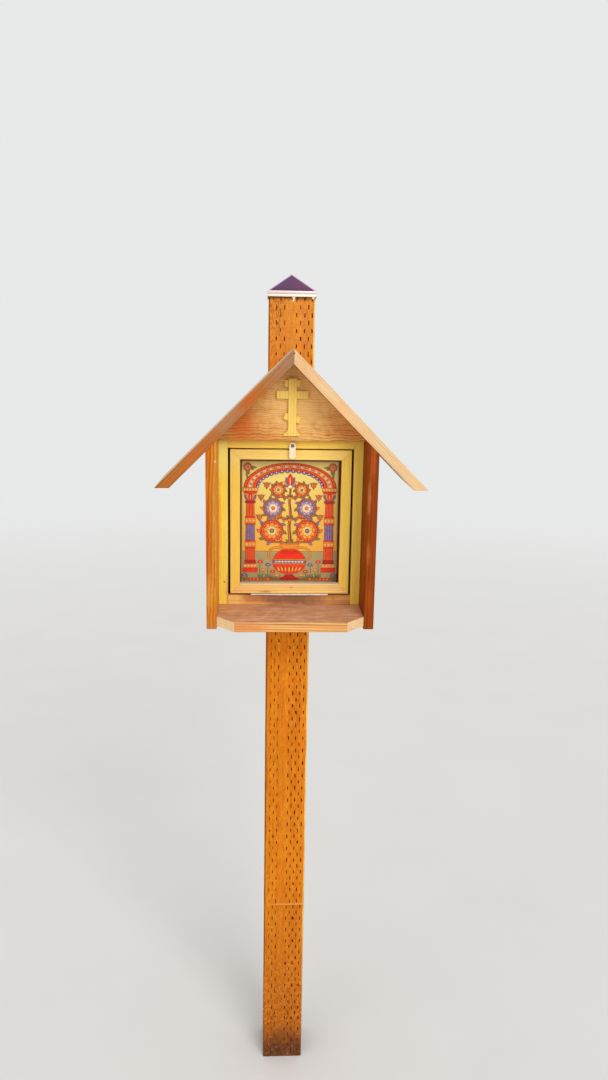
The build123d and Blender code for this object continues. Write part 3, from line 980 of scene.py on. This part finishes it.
# The top is pale as weathering and as a painted highlight along the upper edge.
board(
    "left_roof_board", "left_roof_wood", (184, 114, 38), (128, 62, 14), grain="up_right",
    pith=(-120, -120, 1420), ring=3.6, contrast=0.85, top=(232, 194, 150), streak=(184, 88, 24),
    marks=(
        ((14, 1620), (120, 60, 120), (168, 120, 88), 1.0),
        ((-122, 1494), (52, 30, 52), (180, 126, 84), 0.8),
        ((-84, 1532), (30, 20, 30), (202, 94, 24), 0.6),
        ((-180, 1436), (40, 20, 40), (196, 106, 36), 0.5),
        ((-213.5, 1405.2), (3.6, 4, 3.6), (250, 224, 176), 1.0),
    ),
)
board(
    "right_roof_board", "right_roof_wood", (242, 212, 158), (206, 138, 84), grain="down_right",
    pith=(110, -180, 1440), ring=3.3, contrast=1.0, top=(228, 192, 150), streak=(238, 190, 136), wander=2.5,
    finish=roof_pinks,
)
# Stained dark as painted shade, so that the gaps round the door and the print show dark.
board("icon_board", "icon_board_wood", (84, 50, 26), (50, 28, 12), pith=(60, -10, 0), ring=7.0, wander=10)
board(
    "frame_bottom_rail", "bottom_rail_wood", (232, 172, 94), (176, 104, 50), grain="X", pith=(0, -70, 1080),
    ring=3.5, streak=(188, 118, 66), streak_share=0.7,
    marks=(
        # Painted shadow: a darker, greyer middle under the door.
        ((4, 1134), (100, 20, 18), (140, 96, 70), 0.9),
        ((-70, 1124), (52, 20, 7), (236, 176, 98), 0.75),
        ((-112, 1134), (32, 20, 34), (252, 206, 116), 0.9),
    ),
)
gold_board(
    "left_frame_stile", "left_stile_wood", pale=(255, 232, 88), dark=(250, 186, 44), pith=(-210, -70, 0),
    marks=(
        ((-138.5, 1290), (8, 20, 190), (250, 178, 44), 0.8),
        ((-120.5, 1240), (4, 20, 120), (255, 232, 150), 0.7),
        # Paler at the top: a painted highlight against the shade under the roof.
        ((-128, 1424), (20, 20, 70), (255, 240, 132), 0.85),
        ((-121.5, 1146), (5, 20, 56), (222, 160, 96), 0.8),
    ),
)
gold_board("right_frame_stile", "right_stile_wood", pith=(220, -80, 0))
gold_board("frame_top_rail", "top_rail_wood", grain="X", pith=(0, -60, 1500))
gold_board(
    "door_left_stile", "door_left_wood", pith=(-160, -60, 0),
    marks=(((-107, 1420), (14, 20, 60), (255, 226, 132), 0.7),),
)
gold_board("door_right_stile", "door_right_wood", pith=(170, -60, 0))
gold_board("door_top_rail", "door_top_wood", pale=(255, 220, 118), grain="X", pith=(0, -60, 1470))
# Its upward faces are pale cream, a painted highlight.
gold_board(
    "door_bottom_rail", "door_bottom_wood", pale=(255, 212, 128), dark=(214, 132, 60), grain="X",
    pith=(0, -60, 1110), ring=3.2, contrast=0.9, top=(255, 250, 222),
    marks=(
        ((-46, 1149), (24, 10, 3), (196, 112, 46), 0.7),
        ((4, 1158), (4, 10, 1.6), (190, 110, 50), 0.8),
    ),
)


# Small wood and metal of the case

# The beads' upward faces are pale cream, a painted highlight.
bead_wood = wood(
    "bead_wood", (206, 108, 20), (160, 76, 10), pith=(0, -40, 0), ring=2.4, wander=2, gloss=0.1,
    top=(255, 250, 222),
)
cross_wood = wood(
    "cross_wood", (251, 214, 106), (222, 166, 66), pith=(26, -96, 0), ring=5.0, contrast=0.6, wander=2,
    fibre=0.08,
)
button_wood = wood(
    "button_wood", (255, 238, 200), (240, 214, 168), pith=(16, -150, 0), ring=2.2, contrast=0.4, wander=1,
)
hinge_steel = sheet_metal("hinge_steel", (214, 208, 198), (196, 190, 182), 0.3)
for side in ("left", "right", "top", "bottom"):
    dress(f"glass_bead_{side}", bead_wood, edge=0.5)
for part in ("upright", "foot", "main_bar", "top_bar", "slanted_bar"):
    dress(f"cross_{part}", cross_wood, edge=0.5)
for part in ("frame_leaf", "door_leaf", "pin"):
    dress(f"hinge_{part}", hinge_steel, edge=0.12, segments=2, smooth_angle=40)
dress("turn_button", button_wood, edge=0.7)
dress("button_screw", screw_steel, edge=0.1, segments=1, smooth_angle=60)


def glass_material():
    """Clear glass that lets the lamps and the soft light through to the icon."""
    graph = new_graph("pane_glass")
    pane = graph.principled(
        Base_Color=(0.97, 0.99, 0.98, 1),
        Roughness=graph.fit(graph.noise(22.0, detail=3.0), 0.4, 0.7, 0.0, 0.03),
        IOR=1.2,
        Transmission_Weight=1.0,
    )
    clear = graph.node("ShaderNodeBsdfTransparent", {"Color": (0.98, 0.99, 0.985, 1)})
    return graph.show_either(graph.rays("Is Shadow Ray", "Is Diffuse Ray"), pane, clear)


dress("door_glass", glass_material(), edge=0.2, segments=1)


# Icon: a print with a plain ornament, a flowering tree in an urn under an arch on two columns.
# Its shapes are given as they are seen from the front: x to the right and z up.

PRINT_LOW, PRINT_HIGH = span("icon_print")
HORIZON = 1222.0
PRINT_GLOSS = 0.15
# The ground's gold from the horizon up
GILT = (
    (0.0, srgb(253, 182, 60)),
    (0.35, srgb(254, 202, 86)),
    (0.75, srgb(255, 230, 126)),
    (1.0, srgb(250, 226, 138)),
)
# Main and second tone of each paint; the ground has a material of its own
PALETTE = {
    "ground": None,
    "rim": ((104, 22, 2), (80, 14, 2)),
    "line": ((96, 32, 26), (78, 24, 22)),
    "bark": ((156, 76, 58), (126, 56, 46)),
    "violet": ((142, 104, 150), (122, 84, 134)),
    "violet_pale": ((196, 164, 200), (178, 144, 186)),
    "violet_deep": ((92, 62, 108), (78, 52, 94)),
    "red": ((255, 56, 4), (244, 40, 2)),
    "red_deep": ((206, 30, 8), (184, 22, 8)),
    "orange": ((252, 156, 50), (244, 138, 38)),
    "orange_pale": ((255, 212, 118), (252, 194, 96)),
    "pearl": ((255, 244, 206), (250, 232, 184)),
    "leaf": ((126, 128, 62), (102, 106, 54)),
    "leaf_pale": ((172, 168, 94), (154, 150, 82)),
}


def print_finish(graph, colour, grain, rough, strength):
    """The low gloss of a print behind glass, so that its colours stay deep; its grain shows in the sheen."""
    return graph.show_principled(
        Base_Color=colour,
        Roughness=graph.fit(grain, 0.3, 0.7, *rough),
        Specular_IOR_Level=PRINT_GLOSS,
        Normal=graph.bump(grain, strength, 0.1),
    )


def ground_material():
    """Gold ground that deepens downwards over an olive strip."""
    graph = new_graph("print_ground")
    height = graph.millimetres("Z")
    gilt = graph.ramp(graph.fit(height, HORIZON, PRINT_HIGH.z), GILT)
    gilt = graph.wash(gilt, (232, 160, 60), graph.noise(240.0, detail=4.0, rough=0.7), 0.3, 0.7, 0.16)
    olive = graph.mix(graph.noise(70.0, detail=4.0), srgb(194, 168, 110), srgb(172, 150, 100))
    colour = graph.mix(graph.fit(height, HORIZON - 0.3, HORIZON + 0.3), olive, gilt)
    return print_finish(graph, colour, graph.noise(1500.0), (0.3, 0.42), 0.1)


def paint_material(name, main, second):
    """Paint laid by brush: two tones and a trace of its strokes."""
    graph = new_graph(f"paint_{name}")
    cloud = graph.noise(160.0, detail=3.0)
    colour = graph.mix(graph.fit(cloud, 0.35, 0.65), srgb(*main), srgb(*second))
    return print_finish(graph, colour, graph.noise((1400, 1400, 260)), (0.34, 0.5), 0.15)


def area(outline):
    """Twice an outline's area, positive where it runs anticlockwise."""
    return sum(x0 * z1 - x1 * z0 for (x0, z0), (x1, z1) in zip(outline, outline[1:] + outline[:1]))


def oval(x, z, wide, high, steps=16, start=0.0, end=360.0):
    """Points round an ellipse, or along a part of it, from angle to angle."""
    count = steps if end - start >= 360 else steps + 1
    angles = [math.radians(start + (end - start) * step / steps) for step in range(count)]
    return [(x + wide * math.cos(angle), z + high * math.sin(angle)) for angle in angles]


def disc(x, z, radius, steps=16):
    """Points round a circle."""
    return oval(x, z, radius, radius, steps)


def leaf(x, z, length, width, angle, full=0.8, blunt=1.0, steps=7):
    """A leaf growing at an angle; fuller ones are widest nearer to the tip, blunt ones are rounder."""
    way = math.radians(angle)
    edge = []
    for step in range(steps + 1):
        share = step / steps
        swell = max(0.0, math.sin(math.pi * share**full))
        edge.append((length * share, width / 2 * swell**blunt))
    edge += [(along, -out) for along, out in edge[-2:0:-1]]
    cos, sin = math.cos(way), math.sin(way)
    return [(x + along * cos - out * sin, z + along * sin + out * cos) for along, out in edge]


def side_ways(points, closed):
    """The unit normal to the left of the way at each point of a line."""
    out = []
    count = len(points)
    for step in range(count):
        before = points[(step - 1) % count] if closed or step else points[0]
        after = points[(step + 1) % count] if closed or step < count - 1 else points[-1]
        dx, dz = after[0] - before[0], after[1] - before[1]
        length = math.hypot(dx, dz)
        out.append((-dz / length, dx / length))
    return out


def ribbon(points, start_width, end_width):
    """A stroke along a line, from one width to another."""
    left, right = [], []
    for step, ((x, z), (nx, nz)) in enumerate(zip(points, side_ways(points, closed=False))):
        half = (start_width + (end_width - start_width) * step / (len(points) - 1)) / 2
        left.append((x + nx * half, z + nz * half))
        right.append((x - nx * half, z - nz * half))
    return left + right[::-1]


def grown(outline, by):
    """An outline moved outwards all round."""
    out = -by if area(outline) > 0 else by
    ways = side_ways(outline, closed=True)
    return [(x + out * nx, z + out * nz) for (x, z), (nx, nz) in zip(outline, ways)]


def bezier(*corners, steps):
    """Points along a cubic curve with four corners."""
    points = []
    for step in range(steps + 1):
        t = step / steps
        weights = ((1 - t) ** 3, 3 * t * (1 - t) ** 2, 3 * t * t * (1 - t), t**3)
        points.append(tuple(sum(w * corner[axis] for w, corner in zip(weights, corners)) for axis in (0, 1)))
    return points


def upright(profile, middle=0.0):
    """An outline with like left and right sides, from (half width, height) pairs."""
    left = [(middle - half, z) for half, z in profile[::-1]]
    return [(middle + half, z) for half, z in profile] + left


def covered(outline, points):
    """The numbers of those points that an outline goes round."""
    corners = numpy.array(outline)
    near = numpy.all((points >= corners.min(axis=0)) & (points <= corners.max(axis=0)), axis=1)
    picked = numpy.flatnonzero(near)
    x, z = points[picked].T
    turned_round = numpy.zeros(len(picked), dtype=int)
    for (x0, z0), (x1, z1) in zip(corners, numpy.roll(corners, -1, axis=0)):
        if z0 != z1:
            right = x < x0 + (z - z0) * (x1 - x0) / (z1 - z0)
            turned_round += right & (z0 <= z) & (z < z1)
            turned_round -= right & (z1 <= z) & (z < z0)
    return picked[turned_round != 0]


class Picture:
    """Shapes painted over one another, then cut into one flat mosaic."""

    def __init__(self):
        self.outlines = []
        self.colours = []
        self.flip = 1
        self.lay(upright([(PRINT_HIGH.x, PRINT_LOW.z), (PRINT_HIGH.x, PRINT_HIGH.z)]), "rim")

    def both_sides(self):
        """Two rounds of a loop, the second one mirrored."""
        for side in (1, -1):
            self.flip = side
            yield side
        self.flip = 1

    def lay(self, outline, colour):
        """One shape of one colour over what is there, mirrored where flip is -1."""
        outline = [(self.flip * x, z) for x, z in outline]
        self.outlines.append(outline if area(outline) > 0 else outline[::-1])
        self.colours.append(colour)

    def draw(self, outline, colour, line=0.55):
        """A shape with a dark line round it."""
        self.lay(grown(outline, line), "line")
        self.lay(outline, colour)

    def stroke(self, points, start_width, end_width, colour, line=0.6):
        """A tapered stroke with a dark line round it."""
        self.lay(ribbon(points, start_width + 2 * line, end_width + 2 * line), "line")
        self.lay(ribbon(points, start_width, end_width), colour)

    def dots(self, points, radius, colour="pearl"):
        """Round dots at each point."""
        for x, z in points:
            self.lay(disc(x, z, radius, steps=10), colour)

    def bloom(self, x, z, radius, petals, colours, twist=0.0):
        """A round flower: two rings of petals with pale streaks, a heart and dots round it."""
        outer, inner, heart = colours
        for ring, share, colour in ((0, 1.0, outer), (1, 0.64, inner)):
            for petal in range(petals):
                angle = 360 / petals * (petal + 0.5 * ring) + twist
                way = math.radians(angle)
                reach = radius * share
                petal_shape = leaf(x, z, reach, 5.6 * reach / petals, angle, full=1.7, blunt=0.6)
                self.draw(petal_shape, colour, line=0.4)
                start = (x + 0.6 * reach * math.cos(way), z + 0.6 * reach * math.sin(way))
                self.lay(leaf(*start, 0.3 * reach, 0.1 * reach, angle), "orange_pale")
        self.draw(disc(x, z, radius * 0.25), heart, line=0.4)
        self.dots(disc(x, z, radius * 0.36, steps=petals), radius * 0.05)
        self.dots(disc(x, z, radius * 0.12, steps=5), radius * 0.05, "orange_pale")

    def mesh(self):
        """The mosaic as the front of a thin closed sheet."""
        points, faces = [], []
        for outline in self.outlines:
            faces.append(list(range(len(points), len(points) + len(outline))))
            points.extend(Vector(point) for point in outline)
        inside_only = 1
        corners, _, parts, _, _, _ = geometry.delaunay_2d_cdt(points, [], faces, inside_only, 1e-4)
        places = numpy.array([tuple(corner) for corner in corners])
        middles = numpy.array([places[part].mean(axis=0) for part in parts])
        paint = numpy.zeros(len(parts), dtype=int)
        names = list(PALETTE)
        for outline, colour in zip(self.outlines, self.colours):
            paint[covered(outline, middles)] = names.index(colour)
        shape = bmesh.new()
        verts = [new_vert(shape, x, PRINT_LOW.y, z) for x, z in corners]
        for part, index in zip(parts, paint):
            face = shape.faces.new([verts[corner] for corner in part])
            face.material_index = int(index)
        rim = [edge for edge in shape.edges if edge.is_boundary]
        pulled = bmesh.ops.extrude_edge_only(shape, edges=rim)["geom"]
        for item in pulled:
            if isinstance(item, bmesh.types.BMVert):
                item.co.y = PRINT_HIGH.y * MM
        back = [edge for edge in shape.edges if edge.is_boundary]
        bmesh.ops.contextual_create(shape, geom=back)
        return shape


BORDER_HALF = 94.9
BORDER_LOW = 1159.2
BORDER_TOP = 1402.4


def draw_border(picture):
    """The ground inside the rim, with a fine pale line round it, and the line of the horizon."""
    for inside, colour in ((0.0, "orange_pale"), (0.8, "line"), (1.2, "ground")):
        half = BORDER_HALF - inside
        picture.lay(upright([(half, BORDER_LOW + inside), (half, BORDER_TOP - inside)]), colour)
    picture.lay(ribbon([(-93, HORIZON), (93, HORIZON)], 0.6, 0.6), "line")
    picture.draw(upright([(92.4, 1162.4), (92.4, 1166.6)]), "red")
    picture.dots([(7.0 * step, 1164.5) for step in range(-13, 14)], 1.2, "orange_pale")


COLUMN_X = 78.0
COLUMN_LOW = 1203.0
COLUMN_HIGH = 1321.0
# The leaves of a capital, as (angle, length, colour)
CAPITAL = ((132, 18, "violet"), (48, 18, "violet"), (111, 18, "orange"), (69, 18, "orange"), (90, 17, "red"))


def draw_column(picture):
    """One fluted column on its plinth, belted, with a leafy capital."""

    def slab(half, bottom, top, colour):
        """A level moulding across the column."""
        picture.draw(upright([(half, bottom), (half, top)], COLUMN_X), colour)

    def row(count, pitch, z):
        """Pearls with red dots between them."""
        middle = (count - 1) / 2
        picture.dots([(COLUMN_X + (step - middle) * pitch, z) for step in range(count)], 1.25)
        between = [(COLUMN_X + (step + 0.5 - middle) * pitch, z) for step in range(count - 1)]
        picture.dots(between, 0.75, "red_deep")

    shaft = []
    for step in range(13):
        share = step / 12
        half = 9.4 - 1.6 * share - 0.8 * (share - 0.4) ** 2
        shaft.append((half, COLUMN_LOW + (COLUMN_HIGH - COLUMN_LOW) * share))
    reds, violets = ("red", "orange", "red_deep"), ("violet", "violet_pale", "violet_deep")
    for drum, (main, pale, deep) in ((shaft[:4], reds), (shaft[3:9], violets), (shaft[8:], reds)):
        picture.draw(upright(drum, COLUMN_X), main)
        for share in (-0.8, -0.4, 0.0, 0.4, 0.74):
            picture.lay(ribbon([(COLUMN_X + half * share, z) for half, z in drum], 0.8, 0.7), pale)
            picture.lay(ribbon([(COLUMN_X + half * (share + 0.15), z) for half, z in drum], 0.9, 0.8), deep)
    slab(15.0, 1179, 1187, "red")
    slab(13.2, 1188, 1196, "orange")
    slab(11.4, 1197, 1203.5, "red_deep")
    row(4, 6.2, 1192)
    for level in (1236, 1284):
        slab(10.2, level - 8, level + 8, "orange")
        slab(10.2, level - 8, level - 5.6, "red")
        slab(10.2, level + 5.6, level + 8, "red")
        row(3, 6.4, level)
    slab(10.4, COLUMN_HIGH - 2, COLUMN_HIGH + 3, "red_deep")
    for angle, length, colour in CAPITAL:
        picture.draw(leaf(COLUMN_X, COLUMN_HIGH + 1.5, length, 8.0, angle, full=1.2), colour, line=0.5)
        picture.lay(leaf(COLUMN_X, COLUMN_HIGH + 5, length * 0.6, 1.4, angle), "orange_pale")
    slab(13.0, 1338, 1341.5, "red")
    slab(15.2, 1342.5, 1349.5, "orange")
    row(5, 5.6, 1346)


ARCH_Z = 1350.0
ARCH_INNER = (67.0, 35.0)
ARCH_OUTER = (90.0, 48.5)
# The arch's bands, as (start, end, colour), with 0 at its inner edge and 1 at its outer one
ARCH_BANDS = ((-0.05, 1.05, "line"), (0, 1, "red"), (0.23, 0.77, "line"), (0.26, 0.74, "orange"))


def draw_arch(picture):
    """The arch over the columns: a studded band with red edges and hanging lobes."""

    def rim(share, steps=44, start=0, end=180):
        """A half ellipse, at a share of the way from the inner to the outer edge."""
        wide, high = (a + (b - a) * share for a, b in zip(ARCH_INNER, ARCH_OUTER))
        return oval(0, ARCH_Z, wide, high, steps, start, end)

    for x, z in rim(-0.02, steps=17, start=5, end=175):
        picture.draw(oval(x, z, 5.6, 5.2), "violet")
        picture.dots([(x * 0.96, z - 1.6)], 1.3)
    for inner, outer, colour in ARCH_BANDS:
        picture.lay(rim(inner) + rim(outer)[::-1], colour)
    for number, (x, z) in enumerate(rim(0.5, steps=30, start=4, end=176)):
        if number % 2:
            picture.dots([(x, z)], 1.5, "violet")
        else:
            picture.draw(disc(x, z, 2.6), "pearl", line=0.4)
            picture.dots([(x, z)], 1.1, "red")
    for edge in (0.09, 0.91):
        picture.dots(rim(edge, steps=46, start=3, end=177), 0.55, "orange_pale")


def draw_spandrel(picture):
    """A flower with leaves in the corner over the arch."""
    for angle, length in ((182, 19), (200, 14), (-88, 24), (-106, 15)):
        picture.draw(leaf(84, 1390, length, 5.0, angle), "leaf", line=0.4)
        picture.lay(leaf(84, 1390, length * 0.9, 1.1, angle), "leaf_pale")
    picture.bloom(83.5, 1390.5, 8.8, 7, ("red", "orange", "violet"), 10)


def draw_urn(picture):
    """A red urn with a studded belt and curled handles."""
    for _ in picture.both_sides():
        handle = bezier((13, 1228), (53, 1237), (45, 1198), (27, 1203), steps=16)
        picture.stroke(handle, 3.6, 2.4, "orange")
        picture.draw(disc(26.5, 1203, 3.0), "orange")
    picture.draw(upright([(19, 1163), (19, 1166.5), (11, 1169.5), (7, 1174)]), "red_deep")
    body = bezier((8, 1176), (42, 1180), (39, 1216), (12, 1226), steps=16)
    picture.draw(upright(body), "red")
    for step in range(-3, 4):
        rise, angle = 0.5 * abs(step), 90 - 9 * step
        picture.draw(leaf(step * 6.2, 1178.5 + rise, 13.0, 4.4, angle), "orange", line=0.4)
        picture.lay(leaf(step * 6.2, 1180 + rise, 8.6, 1.3, angle), "orange_pale")
        picture.lay(leaf(step * 4.0, 1224.0, 9.5, 2.6, -90 + 14 * step), "red_deep")
    picture.draw(upright([(31.4, 1195), (32.4, 1200), (31.4, 1206)]), "orange")
    picture.draw(upright([(31.8, 1197.4), (32.2, 1200.5), (31.6, 1203.6)]), "violet", line=0.35)
    picture.dots([(step * 6.6, 1200.5) for step in range(-4, 5)], 1.8)
    picture.dots([(step * 6.6 + 3.3, 1200.5) for step in range(-4, 4)], 0.9, "orange_pale")
    picture.draw(upright([(11.5, 1228), (13, 1230.5), (20, 1234), (20, 1238)]), "orange")
    picture.dots([(step * 5.4, 1235.8) for step in range(-3, 4)], 1.1, "red_deep")


SCROLL_SWEEP = 335
SCROLL_STEPS = 34
# The leaves along a scroll in turn, as (colour, colour of the vein)
SCROLL_LEAVES = (("violet", "violet_pale"), ("leaf", "leaf_pale"), ("red", "orange_pale"))


def draw_scroll(picture, x, z, radius, ground, colours):
    """One branch: out from the stem and round a disc with its flower, with leaves along it."""

    def on_scroll(share):
        """A point along the branch's round."""
        angle = math.radians(270 + SCROLL_SWEEP * share)
        reach = radius * (1 - 0.06 * share)
        return x + reach * math.cos(angle), z + reach * math.sin(angle)

    root = (1.0, z - radius * 1.3)
    start = bezier(root, (x * 0.2, z - radius * 1.02), (x * 0.6, z - radius), (x, z - radius), steps=8)
    path = start + [on_scroll(step / SCROLL_STEPS) for step in range(1, SCROLL_STEPS + 1)]
    size = radius * 0.48
    for number in range(9):
        share = 0.02 + 0.112 * number
        lean = 270 + SCROLL_SWEEP * share + 44
        colour, vein = SCROLL_LEAVES[number % 3]
        picture.draw(leaf(*on_scroll(share), size, size * 0.55, lean), colour, line=0.4)
        picture.lay(leaf(*on_scroll(share), size * 0.8, size * 0.12, lean), vein)
    picture.lay(disc(x, z, radius * 0.97, steps=32), ground)
    picture.dots(disc(x, z, radius * 0.82, steps=22), radius * 0.035, "orange_pale")
    picture.stroke(path, 3.4, 1.8, "bark")
    picture.lay(ribbon(path, 1.0, 0.5), "orange")
    picture.draw(disc(*path[-1], 2.0), "orange", line=0.5)
    picture.bloom(x, z, radius * 0.75, 9, colours, twist=11)


# Three pairs of scrolls, as (x, z, radius, colour behind the flower, colours of the flower)
SCROLLS = (
    (35.0, 1263.5, 22.5, "red", ("orange", "orange_pale", "violet_deep")),
    (33.0, 1309.0, 19.0, "violet", ("violet_pale", "pearl", "red")),
    (23.0, 1345.5, 13.5, "red", ("orange", "orange_pale", "violet_deep")),
)
# The leaves on top of the tree, as (angle, length, width, colour)
PALMETTE = (
    (165, 13, 5, "violet"), (15, 13, 5, "violet"), (140, 17, 6.4, "orange"), (40, 17, 6.4, "orange"),
    (115, 21, 7.6, "violet"), (65, 21, 7.6, "violet"), (90, 26, 10.5, "red"),
)


def draw_tree(picture):
    """The stem with three pairs of flowering scrolls and a palmette on top."""
    stem = [(1.1 * math.sin(step * 0.7), 1231 + 120 * step / 20) for step in range(21)]
    picture.stroke(stem, 6.0, 3.0, "bark")
    picture.lay(ribbon([(x - 0.8, z) for x, z in stem], 1.4, 0.8), "orange")
    for x, z, radius, ground, colours in SCROLLS:
        foot = z - radius * 1.3
        for _ in picture.both_sides():
            draw_scroll(picture, x, z, radius, ground, colours)
            picture.draw(leaf(2, foot + 3, radius * 0.5, radius * 0.22, 62), "leaf", line=0.35)
        picture.draw(oval(0, foot + 1, 4.4, 2.6), "orange", line=0.5)
        picture.dots([(0, foot + 1)], 1.0, "red_deep")
    for angle, length, width, colour in PALMETTE:
        picture.draw(leaf(0, 1352, length, width, angle, full=1.1), colour, line=0.5)
        picture.lay(leaf(0, 1355, length * 0.66, width * 0.22, angle), "orange_pale")
    picture.draw(oval(0, 1352, 4.2, 3.0), "pearl", line=0.5)


# Small flowers between the scrolls, as (x, z, radius)
SPRIGS = ((60, 1291, 5.6), (11.5, 1286.5, 3.6), (57, 1331, 5.2), (10.5, 1329, 3.2), (46, 1355, 5.6))
# Plants on the olive ground, as (x, foot, height, colour)
PLANTS = (
    (33, 1164, 15, "red"), (42, 1168, 25, "violet"), (52, 1164, 18, "orange"), (58, 1168, 31, "red"),
    (89, 1163, 9, "violet"), (24, 1162, 9, "orange"),
)


def draw_sprigs(picture):
    """Small flowers in the gaps between the scrolls."""
    for x, z, radius in SPRIGS:
        for angle in (30, 150, 270):
            picture.draw(leaf(x, z, radius * 1.7, radius * 0.6, angle), "leaf", line=0.3)
        picture.bloom(x, z, radius, 6, ("red", "orange", "violet_deep"), 18)


def draw_meadow(picture):
    """Small flowers and tufts on the olive ground."""
    for x, low, tall, colour in PLANTS:
        picture.stroke([(x, low), (x + 0.8, low + tall / 2), (x, low + tall)], 1.0, 0.7, "leaf", line=0.3)
        for angle, reach in ((156, 7), (24, 7), (130, 10), (52, 10)):
            picture.draw(leaf(x, low, reach, 2.6, angle), "leaf", line=0.3)
            picture.lay(leaf(x, low, reach * 0.8, 0.7, angle), "leaf_pale")
        for angle in (160, 20, 130, 50, 90):
            picture.draw(leaf(x, low + tall - 1, 6.4, 3.4, angle, full=1.2), colour, line=0.35)
        picture.dots([(x, low + tall + 1)], 1.0)


def make_picture():
    """The whole ornament, painted from back to front."""
    picture = Picture()
    draw_border(picture)
    draw_arch(picture)
    for _ in picture.both_sides():
        draw_meadow(picture)
        draw_column(picture)
        draw_spandrel(picture)
        draw_sprigs(picture)
    draw_tree(picture)
    draw_urn(picture)
    return picture.mesh()


paints = [paint_material(name, *tones) if tones else ground_material() for name, tones in PALETTE.items()]
add_piece("icon_picture", make_picture(), paints, ROOT, ["icon_print"])
